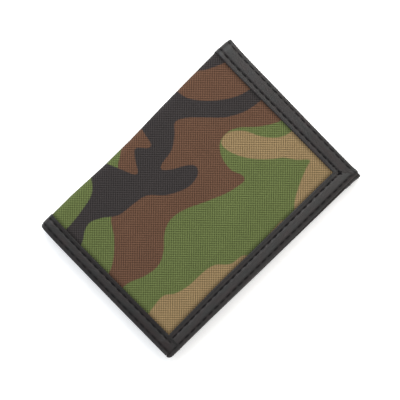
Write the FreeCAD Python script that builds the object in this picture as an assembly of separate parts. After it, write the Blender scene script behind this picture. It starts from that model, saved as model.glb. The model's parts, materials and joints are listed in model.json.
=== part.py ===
"""Hook-and-loop trifold wallet, folded shut and lying flat.

Frame: origin at the middle of the resting face. X runs across the folded wallet, from the front
fold (-X) to the front flap's free edge (+X). Y runs up the wallet, from the bottom edge to the
edge that the note compartment opens at. Z is up, through the folded thickness.

Three panels lie on each other: the centre panel at the bottom, the inner flap on it, and the
front flap on top. Two spines of fabric join them, the front spine at -X and the inner spine at
+X. Each panel and spine is one section, drawn as a curve in the XZ plane. A layer of a section
lies between two depths, counted from the wallet's outside.
"""
import FreeCAD, Part
import math
import os

from FreeCAD import Vector

# ---- driving dimensions, millimetres ------------------------------------------------------
WIDTH = 88.5
HEIGHT = 125.0
THICKNESS = 14.0
FRONT_FOLD_RADIUS = 5.0
INNER_FOLD_RADIUS = 3.6
FOLD_SPLIT_DEG = 45.0          # share of each quarter-round fold that belongs to the panel

TAPE = 0.3                     # one leg of the folded binding tape
SHELL = 0.45                   # patterned outer cloth
NOTE_GAP = 0.9                 # note compartment between shell and lining
LINING = 0.25
BINDING_WIDTH = 8.6            # how far the folded tape reaches in from an edge
FREE_EDGE_GAP = 0.5            # front flap's free edge, in from the inner fold's outside
INNER_FLAP_INSET = 5.75        # inner flap's free edge, in from the front fold's outside

CARD_WIDTH = 56.0              # room for a 54 mm wide card
CARD_GAP = 0.8
POCKET_SHEET = 0.25
POCKET_COUNT = 3
POCKET_FOOT_Y = -52.0
POCKET_MOUTH_Y = 36.0
POCKET_STEP = 12.0             # each pocket in front ends this much lower
POCKET_CENTER_X = 3.0
TRIM_WIDTH = 5.0
SEAM = 1.5                     # sewn border round a pocket

ID_GAP = 0.85
ID_SHEET = 0.15
ID_FRAME = 0.25
ID_HEIGHT = 92.0
ID_MARGIN = 6.0                # cloth border round the clear window
PANEL_GAP = 0.2                # air between the centre panel and the inner flap

COIN_LEFT = -36.0
COIN_RIGHT = 17.0
COIN_BOTTOM = -52.0
COIN_TOP = 44.0
COIN_GAP = 1.4
COIN_CLOTH = 0.4
ZIP_Y = 33.0
ZIP_SLOT_INSET = 5.0
ZIP_SLOT_HALF = 5.0
ZIP_TAPE_HALF = 8.0
ZIP_TAPE = 0.35
ZIP_TAPE_AIR = 0.05            # air between the zip tape and the pocket cloth
COIL_WIDTH = 1.2
COIL_SPLIT = 0.4               # slit between the two coils, where the slider's post runs
COIL_HEIGHT = 1.4
COIL_PROUD = 0.1               # the coil reaches this far past the tape's back
STOP_LENGTH = 1.0
STOP_HEIGHT = 1.5

SLIDER_LENGTH = 8.0
SLIDER_HALF_WIDTH = 3.2
SLIDER_PLATE = 0.35
SLIDER_AIR = 0.1
SLIDER_POST = 0.3
SLIDER_POST_LENGTH = 2.4
SLIDER_LIP = 0.5
SLIDER_BACK_AIR = 0.3          # slider's back wing to the lining
PIN_RADIUS = 0.6
PIN_OFFSET = 2.2               # pivot pin, from the slider's middle towards the pull
PULL_LENGTH = 16.0
PULL_HALF_WIDTH = 2.4
PULL_THICKNESS = 0.3
PULL_AIR = 0.05                # slider to pull
PULL_PIN_AIR = 0.08
PULL_EYE_RADIUS = 1.3

HOOK_LEFT = 20.0
HOOK_RIGHT = 34.5
HOOK_BOTTOM = -40.0
HOOK_TOP = 20.0
HOOK_HEIGHT = 1.8
LOOP_MARGIN = 3.0              # the loop strip is this much longer at each end
LOOP_AIR = 0.1                 # hook tips to loop pile

# ---- derived dimensions --------------------------------------------------------------------
HALF_W = WIDTH / 2
HALF_H = HEIGHT / 2
SHELL_IN = TAPE + SHELL
LINING_OUT = SHELL_IN + NOTE_GAP
LINING_IN = LINING_OUT + LINING
STACK_IN = LINING_IN + TAPE

ID_SHEET_OUT = LINING_IN + ID_GAP
ID_FRAME_OUT = ID_SHEET_OUT + ID_SHEET
CENTER_STACK = ID_FRAME_OUT + ID_FRAME
POCKET_PITCH = CARD_GAP + POCKET_SHEET
INNER_STACK = LINING_IN + POCKET_COUNT * POCKET_PITCH + POCKET_SHEET
INNER_TOP = CENTER_STACK + PANEL_GAP + INNER_STACK

FRONT_FOLD_X = -HALF_W + FRONT_FOLD_RADIUS
INNER_FOLD_X = HALF_W - INNER_FOLD_RADIUS
FRONT_EDGE_X = HALF_W - FREE_EDGE_GAP
INNER_EDGE_X = -HALF_W + INNER_FLAP_INSET

COIN_CLOTH_OUT = LINING_IN + COIN_GAP
COIN_CLOTH_IN = COIN_CLOTH_OUT + COIN_CLOTH
ZIP_TAPE_IN = COIN_CLOTH_OUT - ZIP_TAPE_AIR
ZIP_TAPE_OUT = ZIP_TAPE_IN - ZIP_TAPE
COIL_OUT = ZIP_TAPE_OUT - COIL_PROUD
COIL_IN = COIL_OUT + COIL_HEIGHT
COIL_LEFT = COIN_LEFT + ZIP_SLOT_INSET + STOP_LENGTH
COIL_RIGHT = COIN_RIGHT - ZIP_SLOT_INSET - STOP_LENGTH
SLIDER_X = COIL_RIGHT - SLIDER_LENGTH / 2 - SLIDER_AIR
SLIDER_IN = COIL_IN + SLIDER_AIR
SLIDER_OUT = LINING_IN + SLIDER_BACK_AIR
PIN_X = SLIDER_X + PIN_OFFSET
PULL_OUT = SLIDER_IN + SLIDER_PLATE + PULL_AIR
PULL_IN = PULL_OUT + PULL_THICKNESS
LOOP_HEIGHT = THICKNESS - LINING_IN - HOOK_HEIGHT - LOOP_AIR - (INNER_TOP - TAPE)


# ---- sections ------------------------------------------------------------------------------
class Flat:
    """Straight run of a section. Depth moves it along the inward direction."""

    def __init__(self, start, end, inward):
        self.start = start
        self.end = end
        self.inward = inward

    def edge(self, depth):
        shift = Vector(self.inward[0], 0, self.inward[1]) * depth
        start = Vector(self.start[0], 0, self.start[1]) + shift
        end = Vector(self.end[0], 0, self.end[1]) + shift
        return [start, end], None


class Round:
    """Part of a quarter-round fold. Depth makes its radius smaller."""

    def __init__(self, center, radius, start_deg, end_deg):
        self.center = center
        self.radius = radius
        self.start_deg = start_deg
        self.end_deg = end_deg

    def point(self, depth, angle_deg):
        reach = self.radius - depth
        angle = math.radians(angle_deg)
        return Vector(self.center[0] + reach * math.cos(angle), 0,
                      self.center[1] + reach * math.sin(angle))

    def edge(self, depth):
        middle = self.point(depth, (self.start_deg + self.end_deg) / 2)
        start = self.point(depth, self.start_deg)
        end = self.point(depth, self.end_deg)
        return [start, end], middle


def center_section():
    front = (FRONT_FOLD_X, FRONT_FOLD_RADIUS)
    inner = (INNER_FOLD_X, INNER_FOLD_RADIUS)
    return [
        Round(front, FRONT_FOLD_RADIUS, 270 - FOLD_SPLIT_DEG, 270),
        Flat((FRONT_FOLD_X, 0), (INNER_FOLD_X, 0), (0, 1)),
        Round(inner, INNER_FOLD_RADIUS, 270, 270 + FOLD_SPLIT_DEG),
    ]


def front_spine_section():
    low = (FRONT_FOLD_X, FRONT_FOLD_RADIUS)
    high = (FRONT_FOLD_X, THICKNESS - FRONT_FOLD_RADIUS)
    return [
        Round(low, FRONT_FOLD_RADIUS, 270 - FOLD_SPLIT_DEG, 180),
        Flat((-HALF_W, low[1]), (-HALF_W, high[1]), (1, 0)),
        Round(high, FRONT_FOLD_RADIUS, 180, 90 + FOLD_SPLIT_DEG),
    ]


def front_section():
    high = (FRONT_FOLD_X, THICKNESS - FRONT_FOLD_RADIUS)
    return [
        Round(high, FRONT_FOLD_RADIUS, 90 + FOLD_SPLIT_DEG, 90),
        Flat((FRONT_FOLD_X, THICKNESS), (FRONT_EDGE_X, THICKNESS), (0, -1)),
    ]


def inner_spine_section():
    low = (INNER_FOLD_X, INNER_FOLD_RADIUS)
    high = (INNER_FOLD_X, INNER_TOP - INNER_FOLD_RADIUS)
    return [
        Round(low, INNER_FOLD_RADIUS, -90 + FOLD_SPLIT_DEG, 0),
        Flat((HALF_W, low[1]), (HALF_W, high[1]), (-1, 0)),
        Round(high, INNER_FOLD_RADIUS, 0, 90 - FOLD_SPLIT_DEG),
    ]


def inner_section():
    high = (INNER_FOLD_X, INNER_TOP - INNER_FOLD_RADIUS)
    return [
        Round(high, INNER_FOLD_RADIUS, 90 - FOLD_SPLIT_DEG, 90),
        Flat((INNER_FOLD_X, INNER_TOP), (INNER_EDGE_X, INNER_TOP), (0, -1)),
    ]


SECTIONS = {
    "center": center_section(),
    "front_spine": front_spine_section(),
    "front": front_section(),
    "inner_spine": inner_spine_section(),
    "inner": inner_section(),
}


def layer(section, outer, inner, y_low, y_high):
    """Cloth that follows a whole section between two depths and two heights."""
    edges = []
    for depth in (outer, inner):
        for run in SECTIONS[section]:
            (start, end), middle = run.edge(depth)
            if middle is None:
                edges.append(Part.makeLine(start, end))
            else:
                edges.append(Part.Arc(start, middle, end).toShape())
    for end in (0, -1):
        side = 0 if end == 0 else 1
        a = SECTIONS[section][end].edge(outer)[0][side]
        b = SECTIONS[section][end].edge(inner)[0][side]
        edges.append(Part.makeLine(a, b))
    wire = Part.Wire(Part.__sortEdges__(edges))
    solid = Part.Face(wire).extrude(Vector(0, y_high - y_low, 0))
    solid.translate(Vector(0, y_low, 0))
    return solid


def height_at(section, depth):
    """Z of a depth on a panel's flat run."""
    return {"center": depth, "front": THICKNESS - depth, "inner": INNER_TOP - depth}[section]


def block(section, x_span, y_span, depth_span):
    """Box on a panel's flat run, between two depths."""
    ends = sorted(height_at(section, depth) for depth in depth_span)
    size = (x_span[1] - x_span[0], y_span[1] - y_span[0], ends[1] - ends[0])
    return Part.makeBox(*size, Vector(x_span[0], y_span[0], ends[0]))


# ---- cloth panels and their binding --------------------------------------------------------
def trim_free_edge(shape, section):
    """Take cloth back by one tape thickness at a flap's free edge, where the tape wraps it."""
    far = 2 * WIDTH
    edge = {"front": FRONT_EDGE_X - TAPE, "inner": INNER_EDGE_X + TAPE}.get(section)
    if edge is None:
        return shape
    low = edge if section == "front" else edge - far
    return shape.cut(Part.makeBox(far, 2 * HEIGHT, 2 * THICKNESS,
                                  Vector(low, -HEIGHT, -THICKNESS / 2)))


def shell(section):
    """Patterned outer cloth of one section."""
    cloth = layer(section, TAPE, SHELL_IN, -HALF_H + TAPE, HALF_H - TAPE)
    return trim_free_edge(cloth, section)


def lining(section):
    """Inner cloth of one section. The note compartment is the gap between shell and lining."""
    cloth = layer(section, LINING_OUT, LINING_IN, -HALF_H + TAPE, HALF_H - TAPE)
    return trim_free_edge(cloth, section)


def folded_tape(section, outer, inner, edge_y, into):
    """Tape folded over an edge: two legs and the fold that joins them.

    outer and inner are the depths of the cloth it wraps, and into is +1 where the cloth lies
    towards +Y of the edge.
    """
    reach = edge_y + into * BINDING_WIDTH
    fold = edge_y + into * TAPE
    body = layer(section, outer - TAPE, inner + TAPE, min(edge_y, reach), max(edge_y, reach))
    past = reach + into * TAPE
    slot = layer(section, outer, inner, min(fold, past), max(fold, past))
    return body.cut(slot)


def edge_tape(section):
    """Tape down a flap's free edge, between the tapes along its top and bottom."""
    edge, sign = {"front": (FRONT_EDGE_X, -1), "inner": (INNER_EDGE_X, 1)}[section]
    reach = edge + sign * BINDING_WIDTH
    fold = edge + sign * TAPE
    y_span = (-HALF_H + BINDING_WIDTH, HALF_H - BINDING_WIDTH)
    past = reach + sign * TAPE
    body = block(section, sorted((edge, reach)), y_span, (0, STACK_IN))
    slot = block(section, sorted((fold, past)), (-HEIGHT, HEIGHT), (TAPE, LINING_IN))
    return body.cut(slot)


def panel_nodes(section):
    """The cloth and the three tapes that every section has."""
    return {
        f"shell_{section}": shell(section),
        f"lining_{section}": lining(section),
        f"binding_top_shell_{section}": folded_tape(section, TAPE, SHELL_IN, HALF_H, -1),
        f"binding_top_lining_{section}": folded_tape(section, LINING_OUT, LINING_IN, HALF_H, -1),
        f"binding_bottom_{section}": folded_tape(section, TAPE, LINING_IN, -HALF_H, 1),
    }


# ---- pockets -------------------------------------------------------------------------------
def sewn_pocket(section, x_span, y_span, depth_span, sheet):
    """Sheet sewn down on two sides and the bottom, open at its top."""
    outside = block(section, x_span, y_span, depth_span)
    hollow = block(section, (x_span[0] + SEAM, x_span[1] - SEAM),
                   (y_span[0] + SEAM, y_span[1] + SEAM),
                   (depth_span[0], depth_span[1] - sheet))
    return outside.cut(hollow)


def card_span():
    half = CARD_WIDTH / 2 + SEAM
    return (POCKET_CENTER_X - half, POCKET_CENTER_X + half)


def card_pocket_nodes():
    """Stepped card pockets on the inner flap, each with a folded tape along its mouth."""
    nodes = {}
    x_span = card_span()
    for index in range(POCKET_COUNT):
        outer = LINING_IN + index * POCKET_PITCH
        face = outer + POCKET_PITCH
        mouth = POCKET_MOUTH_Y - index * POCKET_STEP
        pocket = sewn_pocket("inner", x_span, (POCKET_FOOT_Y, mouth), (outer, face),
                             POCKET_SHEET)
        trim = block("inner", x_span, (mouth - TRIM_WIDTH, mouth + TAPE),
                     (face, face + POCKET_SHEET))
        nodes[f"card_pocket_{index + 1}"] = pocket
        nodes[f"card_pocket_trim_{index + 1}"] = trim
    return nodes


def id_pocket_nodes():
    """Clear card window on the centre panel: a vinyl sheet under a cloth frame."""
    x_span = card_span()
    y_span = (POCKET_FOOT_Y, POCKET_FOOT_Y + ID_HEIGHT)
    sheet = sewn_pocket("center", x_span, y_span, (LINING_IN, ID_FRAME_OUT), ID_SHEET)
    frame = block("center", x_span, y_span, (ID_FRAME_OUT, CENTER_STACK))
    window = block("center", (x_span[0] + ID_MARGIN, x_span[1] - ID_MARGIN),
                   (y_span[0] + ID_MARGIN, y_span[1] - ID_MARGIN),
                   (ID_FRAME_OUT - SEAM, CENTER_STACK + SEAM))
    return {"id_window": sheet, "id_window_frame": frame.cut(window)}


def coin_pocket():
    """Coin pocket on the front flap, closed all round, with a slot for the zip."""
    outside = block("front", (COIN_LEFT, COIN_RIGHT), (COIN_BOTTOM, COIN_TOP),
                    (LINING_IN, COIN_CLOTH_IN))
    hollow = block("front", (COIN_LEFT + SEAM, COIN_RIGHT - SEAM),
                   (COIN_BOTTOM + SEAM, COIN_TOP - SEAM), (LINING_IN, COIN_CLOTH_OUT))
    slot = block("front", (COIN_LEFT + ZIP_SLOT_INSET, COIN_RIGHT - ZIP_SLOT_INSET),
                 (ZIP_Y - ZIP_SLOT_HALF, ZIP_Y + ZIP_SLOT_HALF),
                 (LINING_IN, COIN_CLOTH_IN + SEAM))
    return outside.cut(hollow).cut(slot)


# ---- zip -----------------------------------------------------------------------------------
def zip_side_nodes():
    """Tape and coil of each half of the zip."""
    nodes = {}
    for name, sign in (("lower", -1), ("upper", 1)):
        coil_near = ZIP_Y + sign * COIL_SPLIT / 2
        coil_far = coil_near + sign * COIL_WIDTH
        tape_far = ZIP_Y + sign * ZIP_TAPE_HALF
        nodes[f"zipper_tape_{name}"] = block(
            "front", (COIN_LEFT + SEAM, COIN_RIGHT - SEAM), sorted((coil_far, tape_far)),
            (ZIP_TAPE_OUT, ZIP_TAPE_IN))
        nodes[f"zipper_coil_{name}"] = block(
            "front", (COIL_LEFT, COIL_RIGHT), sorted((coil_near, coil_far)),
            (COIL_OUT, COIL_IN))
    return nodes


def zip_stops():
    """Metal stops at both ends of the coils."""
    half = COIL_SPLIT / 2 + COIL_WIDTH
    stops = []
    for left in (COIL_LEFT - STOP_LENGTH, COIL_RIGHT):
        stops.append(block("front", (left, left + STOP_LENGTH), (ZIP_Y - half, ZIP_Y + half),
                           (COIL_IN - STOP_HEIGHT, COIL_IN)))
    return Part.makeCompound(stops)


def rounded_plate(length, half_width, corner, depth_span):
    """Plate round the slider's middle, with its upright corners rounded."""
    x_span = (SLIDER_X - length / 2, SLIDER_X + length / 2)
    plate = block("front", x_span, (ZIP_Y - half_width, ZIP_Y + half_width), depth_span)
    upright = [e for e in plate.Edges if abs(e.tangentAt(e.FirstParameter).z) > 0.99]
    return plate.makeFillet(corner, upright)


def zip_slider():
    """Slider: two wings joined by a post that runs in the slit, side lips, and a pivot pin."""
    wing = (SLIDER_LENGTH, SLIDER_HALF_WIDTH, SLIDER_HALF_WIDTH / 3)
    top = rounded_plate(*wing, (SLIDER_IN, SLIDER_IN + SLIDER_PLATE))
    bottom = rounded_plate(*wing, (SLIDER_OUT, SLIDER_OUT + SLIDER_PLATE))
    post_half = SLIDER_POST_LENGTH / 2
    body = top.fuse(bottom)
    body = body.fuse(block("front", (SLIDER_X - post_half, SLIDER_X + post_half),
                           (ZIP_Y - SLIDER_POST / 2, ZIP_Y + SLIDER_POST / 2),
                           (SLIDER_OUT + SLIDER_PLATE / 2, SLIDER_IN + SLIDER_PLATE / 2)))
    lip_half = SLIDER_LENGTH / 2 - SLIDER_HALF_WIDTH / 3
    for sign in (-1, 1):
        outer = ZIP_Y + sign * SLIDER_HALF_WIDTH
        body = body.fuse(block("front", (SLIDER_X - lip_half, SLIDER_X + lip_half),
                               sorted((outer, outer - sign * SLIDER_LIP)),
                               (ZIP_TAPE_IN + SLIDER_AIR, SLIDER_IN + SLIDER_PLATE / 2)))
    pin = Part.makeCylinder(PIN_RADIUS, PULL_IN - SLIDER_IN,
                            Vector(PIN_X, ZIP_Y, height_at("front", PULL_IN)))
    return body.fuse(pin).removeSplitter()


def zip_pull():
    """Flat pull with a round eye on the slider's pin and a slot near its free end."""
    z_low = height_at("front", PULL_IN)
    eye = Part.makeCylinder(PULL_EYE_RADIUS, PULL_THICKNESS, Vector(PIN_X, ZIP_Y, z_low))
    neck_end = PIN_X + PULL_LENGTH / 3
    tab_end = PIN_X + PULL_LENGTH
    outline = [
        Vector(PIN_X, ZIP_Y - PULL_EYE_RADIUS, z_low),
        Vector(neck_end, ZIP_Y - PULL_HALF_WIDTH, z_low),
        Vector(tab_end - PULL_HALF_WIDTH, ZIP_Y - PULL_HALF_WIDTH, z_low),
        Vector(tab_end - PULL_HALF_WIDTH, ZIP_Y + PULL_HALF_WIDTH, z_low),
        Vector(neck_end, ZIP_Y + PULL_HALF_WIDTH, z_low),
        Vector(PIN_X, ZIP_Y + PULL_EYE_RADIUS, z_low),
    ]
    tab = Part.Face(Part.makePolygon(outline + outline[:1]))
    tab = tab.extrude(Vector(0, 0, PULL_THICKNESS))
    tip = Part.makeCylinder(PULL_HALF_WIDTH, PULL_THICKNESS,
                            Vector(tab_end - PULL_HALF_WIDTH, ZIP_Y, z_low))
    hole = Part.makeCylinder(PIN_RADIUS + PULL_PIN_AIR, 3 * PULL_THICKNESS,
                             Vector(PIN_X, ZIP_Y, z_low - PULL_THICKNESS))
    return eye.fuse(tab).fuse(tip).cut(hole).removeSplitter()


# ---- closure -------------------------------------------------------------------------------
def hook_strip():
    """Hook strip on the front flap's lining, by its free edge."""
    return block("front", (HOOK_LEFT, HOOK_RIGHT), (HOOK_BOTTOM, HOOK_TOP),
                 (LINING_IN, LINING_IN + HOOK_HEIGHT))


def loop_strip():
    """Loop strip on the inner flap's shell, facing the hook strip."""
    return block("inner", (HOOK_LEFT - LOOP_MARGIN, HOOK_RIGHT + LOOP_MARGIN),
                 (HOOK_BOTTOM - LOOP_MARGIN, HOOK_TOP + LOOP_MARGIN),
                 (TAPE - LOOP_HEIGHT, TAPE))


def all_nodes():
    nodes = {}
    for section in SECTIONS:
        nodes.update(panel_nodes(section))
    for section in ("front", "inner"):
        nodes[f"binding_edge_{section}"] = edge_tape(section)
    nodes.update(card_pocket_nodes())
    nodes.update(id_pocket_nodes())
    nodes.update(zip_side_nodes())
    nodes["coin_pocket"] = coin_pocket()
    nodes["zipper_stops"] = zip_stops()
    nodes["zipper_slider"] = zip_slider()
    nodes["zipper_pull"] = zip_pull()
    nodes["hook_strip"] = hook_strip()
    nodes["loop_strip"] = loop_strip()
    return nodes


os.makedirs("parts", exist_ok=True)
for name, shape in all_nodes().items():
    shape.exportStep(f"parts/{name}.step")
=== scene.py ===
import json
import math
import random

import bpy
import bmesh
import numpy as np
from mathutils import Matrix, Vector


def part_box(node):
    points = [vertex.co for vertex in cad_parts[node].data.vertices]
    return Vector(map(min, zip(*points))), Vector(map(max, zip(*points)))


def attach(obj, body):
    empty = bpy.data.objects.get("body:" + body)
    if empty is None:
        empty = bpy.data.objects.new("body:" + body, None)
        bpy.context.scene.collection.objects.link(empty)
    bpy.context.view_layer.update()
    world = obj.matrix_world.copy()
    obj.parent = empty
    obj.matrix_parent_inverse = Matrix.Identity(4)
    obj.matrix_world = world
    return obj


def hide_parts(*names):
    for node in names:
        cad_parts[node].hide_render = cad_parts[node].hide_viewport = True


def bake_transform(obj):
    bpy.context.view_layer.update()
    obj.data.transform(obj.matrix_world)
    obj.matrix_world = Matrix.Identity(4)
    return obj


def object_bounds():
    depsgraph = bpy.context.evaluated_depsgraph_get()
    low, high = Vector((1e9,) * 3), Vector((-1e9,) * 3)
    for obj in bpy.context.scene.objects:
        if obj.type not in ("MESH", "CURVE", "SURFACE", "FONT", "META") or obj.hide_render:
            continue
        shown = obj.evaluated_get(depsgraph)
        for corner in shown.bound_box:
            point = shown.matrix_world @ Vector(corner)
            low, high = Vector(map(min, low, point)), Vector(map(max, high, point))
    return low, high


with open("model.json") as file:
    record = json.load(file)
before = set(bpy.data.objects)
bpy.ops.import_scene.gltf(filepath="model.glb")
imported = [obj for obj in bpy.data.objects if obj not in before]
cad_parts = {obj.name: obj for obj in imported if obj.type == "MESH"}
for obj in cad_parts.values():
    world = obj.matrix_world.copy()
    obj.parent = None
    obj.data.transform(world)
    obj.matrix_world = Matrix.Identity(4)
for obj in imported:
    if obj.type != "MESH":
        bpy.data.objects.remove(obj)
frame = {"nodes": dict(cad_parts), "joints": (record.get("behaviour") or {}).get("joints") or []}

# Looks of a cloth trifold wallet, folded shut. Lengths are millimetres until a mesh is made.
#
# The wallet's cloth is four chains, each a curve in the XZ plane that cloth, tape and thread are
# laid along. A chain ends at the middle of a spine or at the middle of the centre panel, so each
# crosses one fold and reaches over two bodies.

MM = 0.001
CAD_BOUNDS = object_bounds()

# ---- sizes read from the frame ---------------------------------------------------------------
JOINTS = {joint["name"]: joint for joint in frame["joints"]}
FOLD_RISE = 1 - math.cos(math.radians(45))     # a fold's pivot sits on the middle of its arc
LOW, HIGH = (np.array(corner) / MM for corner in CAD_BOUNDS)
HALF_H = HIGH[1]
THICK = HIGH[2]


def pivot_z(joint):
    return JOINTS[joint]["pos_m"][2] / MM


def box(node):
    low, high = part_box(node)
    return np.array(low) / MM, np.array(high) / MM


FRONT_R = pivot_z("front_fold") / FOLD_RISE
INNER_R = pivot_z("inner_fold") / FOLD_RISE
INNER_TOP = pivot_z("inner_flap_fold") + INNER_R * FOLD_RISE
FRONT_FOLD_X = LOW[0] + FRONT_R
INNER_FOLD_X = HIGH[0] - INNER_R
FRONT_EDGE_X = box("binding_edge_front")[1][0]
INNER_EDGE_X = box("binding_edge_inner")[0][0]
MIDDLE_X = (FRONT_FOLD_X + INNER_FOLD_X) / 2
SHELL_CLOTH = 0.45             # thickness of the patterned cloth
TAPE = box("shell_center")[0][2]
LINING_OUT = box("lining_center")[0][2]
LINING_IN = box("id_window")[0][2]
STACK_IN = LINING_IN + TAPE
SHELL_IN = TAPE + SHELL_CLOTH
LIP_IN = SHELL_IN + TAPE
LIP_OUT = LINING_OUT - TAPE

# ---- sizes of what only Blender draws --------------------------------------------------------
TOP_WIDTH = 8.9                # binding tape along the top edge
BOTTOM_WIDTH = 8.1
EDGE_WIDTH = 8.3
EDGE_WIDTHS = [                # front flap: height up its free edge, and the tape's width there
    (0, 8.5), (40, 9.3), (70, 9.1), (125, 8.7),
]
FLAP_SLANT = 1.2               # the front flap's free edge leans in towards its top corner
FOLD_BOW = [                   # height up the front fold, and how far the fold is pushed in there
    (0, 0.0), (20, -0.2), (42, 0.5), (60, 0.4), (80, -0.4), (100, -0.9), (116, -1.2), (125, -0.7),
]
INNER_BOW = [(0, 0.2), (60, -0.3), (125, -0.7)]
CORNER_ROUND = 1.8             # front flap's top corner, where the tapes meet in a lump
LUMP = 0.5
LUMP_REACH = 1.8
LUMP_INSET = 1.2
FOLD_TOP_OUT = 0.85            # the front fold's ends stand out past the long edges
FOLD_BOTTOM_OUT = 0.4
BOTTOM_BOW = 0.3               # the bottom edge bows out between its ends
EDGE_WAVER = 0.12
BLUNT = 2.3                    # size of the worn corner at the bottom of the inner fold
BLUNTING = 0.38
CORNER_DRAW = 0.5              # the corner at the top of the inner fold is drawn out by this much
CORNER_REACH = 3.0
SQUARENESS = {"front": 0.13, "left": 0.08, "right": 0.05, "inner": 0.05}
TAPE_CLOTH = 0.26              # thickness of one tape leg
HEM = 2.2                      # the cloth stops this far short of the tape's folded edge
STITCH_PITCH = 3.9
STITCH_LENGTH = 3.2
STITCH_GAP = STITCH_PITCH - STITCH_LENGTH
THREAD_R = 0.2
CLOTH_GRID = 0.8               # mesh spacing on the patterned cloth
LINING_GRID = 1.2
LINING_GRID_Y = 1.6
TAPE_GRID = 0.65
LEG_GRID = 0.35                # and across a tape


def smooth(t):
    t = np.clip(t, 0, 1)
    return t * t * (3 - 2 * t)


def ripple(x, y, seed, scale):
    """Smooth, repeatable unevenness between about -1 and 1."""
    total = np.zeros(np.broadcast(x, y).shape)
    draw = random.Random(seed)
    for _ in range(5):
        angle = draw.uniform(0, math.tau)
        reach = scale * draw.uniform(0.6, 1.7)
        phase = draw.uniform(0, math.tau)
        total += np.sin((x * math.cos(angle) + y * math.sin(angle)) / reach + phase)
    return total / 3


# ---- chains ----------------------------------------------------------------------------------
class Chain:
    """A fold and the panel beyond it, as straight and round runs end to end.

    side is +1 where the wallet's inside is to the left of the way the chain runs. flat_start and
    flat_step place the chain on the unfolded cloth.
    """

    def __init__(self, name, bodies, start, heading, side, runs, flat_start, flat_step):
        self.name = name
        self.bodies = bodies
        self.side = side
        self.flat_start = flat_start
        self.flat_step = flat_step
        self.runs = []
        x, z = start
        heading = math.radians(heading)
        along = 0.0
        for length, turn in runs:
            turn = math.radians(turn)
            self.runs.append((along, length, x, z, heading, turn))
            if turn:
                bend = turn / length
                x += (math.sin(heading + turn) - math.sin(heading)) / bend
                z -= (math.cos(heading + turn) - math.cos(heading)) / bend
            else:
                x += length * math.cos(heading)
                z += length * math.sin(heading)
            heading += turn
            along += length
        self.length = along

    def at(self, along, depth):
        """X and Z of points at a depth from the outer line."""
        along, depth = np.broadcast_arrays(np.asarray(along, float), np.asarray(depth, float))
        x = np.zeros(along.shape)
        z = np.zeros(along.shape)
        for index, (start, length, x0, z0, heading, turn) in enumerate(self.runs):
            here = along >= start if index else np.ones(along.shape, bool)
            step = along - start
            if turn:
                bend = turn / length
                angle = heading + bend * step
                squared = 1 + SQUARENESS[self.name] * np.sin(2 * bend * step) ** 2
                reach = (1 / bend - self.side * depth) * squared
                px = x0 - math.sin(heading) / bend + np.sin(angle) * reach
                pz = z0 + math.cos(heading) / bend - np.cos(angle) * reach
            else:
                px = x0 + step * math.cos(heading) - self.side * math.sin(heading) * depth
                pz = z0 + step * math.sin(heading) + self.side * math.cos(heading) * depth
            x = np.where(here, px, x)
            z = np.where(here, pz, z)
        return x, z

    def point(self, along, y, depth):
        x, z = self.at(along, depth)
        x, y, z = np.broadcast_arrays(x, np.asarray(y, float), z)
        points = np.stack([x, y, z], -1)
        points[..., 0] += fold_bow(x, y)
        if self.name == "front":
            points = lean(points)
        return worn(points)

    def flat(self, along):
        """Place along the unfolded cloth."""
        return self.flat_start + self.flat_step * np.asarray(along, float)

    def join(self, piece):
        """Bake the piece's placement into its mesh."""
        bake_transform(piece)


def fold_bow(x, y):
    """How far right the folds are pushed, fading out over the panels beside them."""
    push = 0
    for bow, depth in ((FOLD_BOW, FRONT_FOLD_X + 8 - x), (INNER_BOW, x - INNER_FOLD_X + 8)):
        heights, pushes = zip(*bow)
        sign = 1 if bow is FOLD_BOW else -1
        push = push + sign * smooth(depth / 13) * np.interp(y + HALF_H, heights, pushes)
    return push


def lean(points):
    """Pull the front flap's free edge in towards its top corner, and soften its outline."""
    x, y, z = points[..., 0], points[..., 1], points[..., 2]
    out = smooth((z - THICK / 2) / (THICK / 2 - STACK_IN))
    across = np.clip((x - FRONT_FOLD_X) / (FRONT_EDGE_X - FRONT_FOLD_X), 0, 1)
    up = y / (2 * HALF_H) + 0.5
    edge = smooth(np.abs(y) / HALF_H * 2 - 1) * out
    fold_end = np.exp(-np.maximum(x - LOW[0], 0) / 5)
    dx = -FLAP_SLANT * up * across
    bottom = FOLD_BOTTOM_OUT * fold_end - BOTTOM_BOW * np.sin(math.pi * across)
    dy = edge * np.where(y > 0, FOLD_TOP_OUT * fold_end, bottom)
    dy = dy + EDGE_WAVER * edge * ripple(x, y * 0.1, 4, 11)
    beside = np.maximum(x - FRONT_EDGE_X + CORNER_ROUND, 0)
    above = np.maximum(y - HALF_H + CORNER_ROUND, 0)
    reach = np.hypot(beside, above) + 1e-9
    shrink = np.maximum(reach - CORNER_ROUND, 0) * out * 0.9 / reach
    away = (x - FRONT_EDGE_X + LUMP_INSET) ** 2 + (y - HALF_H + LUMP_INSET) ** 2
    lump = LUMP * out * np.exp(-away / LUMP_REACH ** 2)
    return np.stack([x + dx + lump - shrink * beside, y + dy + lump - shrink * above,
                     z + lump * 0.8], -1)


def worn(points):
    """Blunt the bottom corner beside the inner fold, and draw the top corner out."""
    x, y, z = points[..., 0], points[..., 1], points[..., 2]
    past_x = np.maximum(x - (HIGH[0] - BLUNT), 0)
    past_y = np.maximum(-HALF_H + BLUNT - y, 0)
    over = BLUNTING * np.maximum(past_x + past_y - BLUNT, 0)
    away = ((x - HIGH[0]) ** 2 + (y - HALF_H) ** 2) / CORNER_REACH ** 2
    out = CORNER_DRAW * np.exp(-away) * smooth((INNER_TOP + 0.5 - z) / 0.5)
    return np.stack([x - over + out, y + over + out, z], -1)


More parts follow.
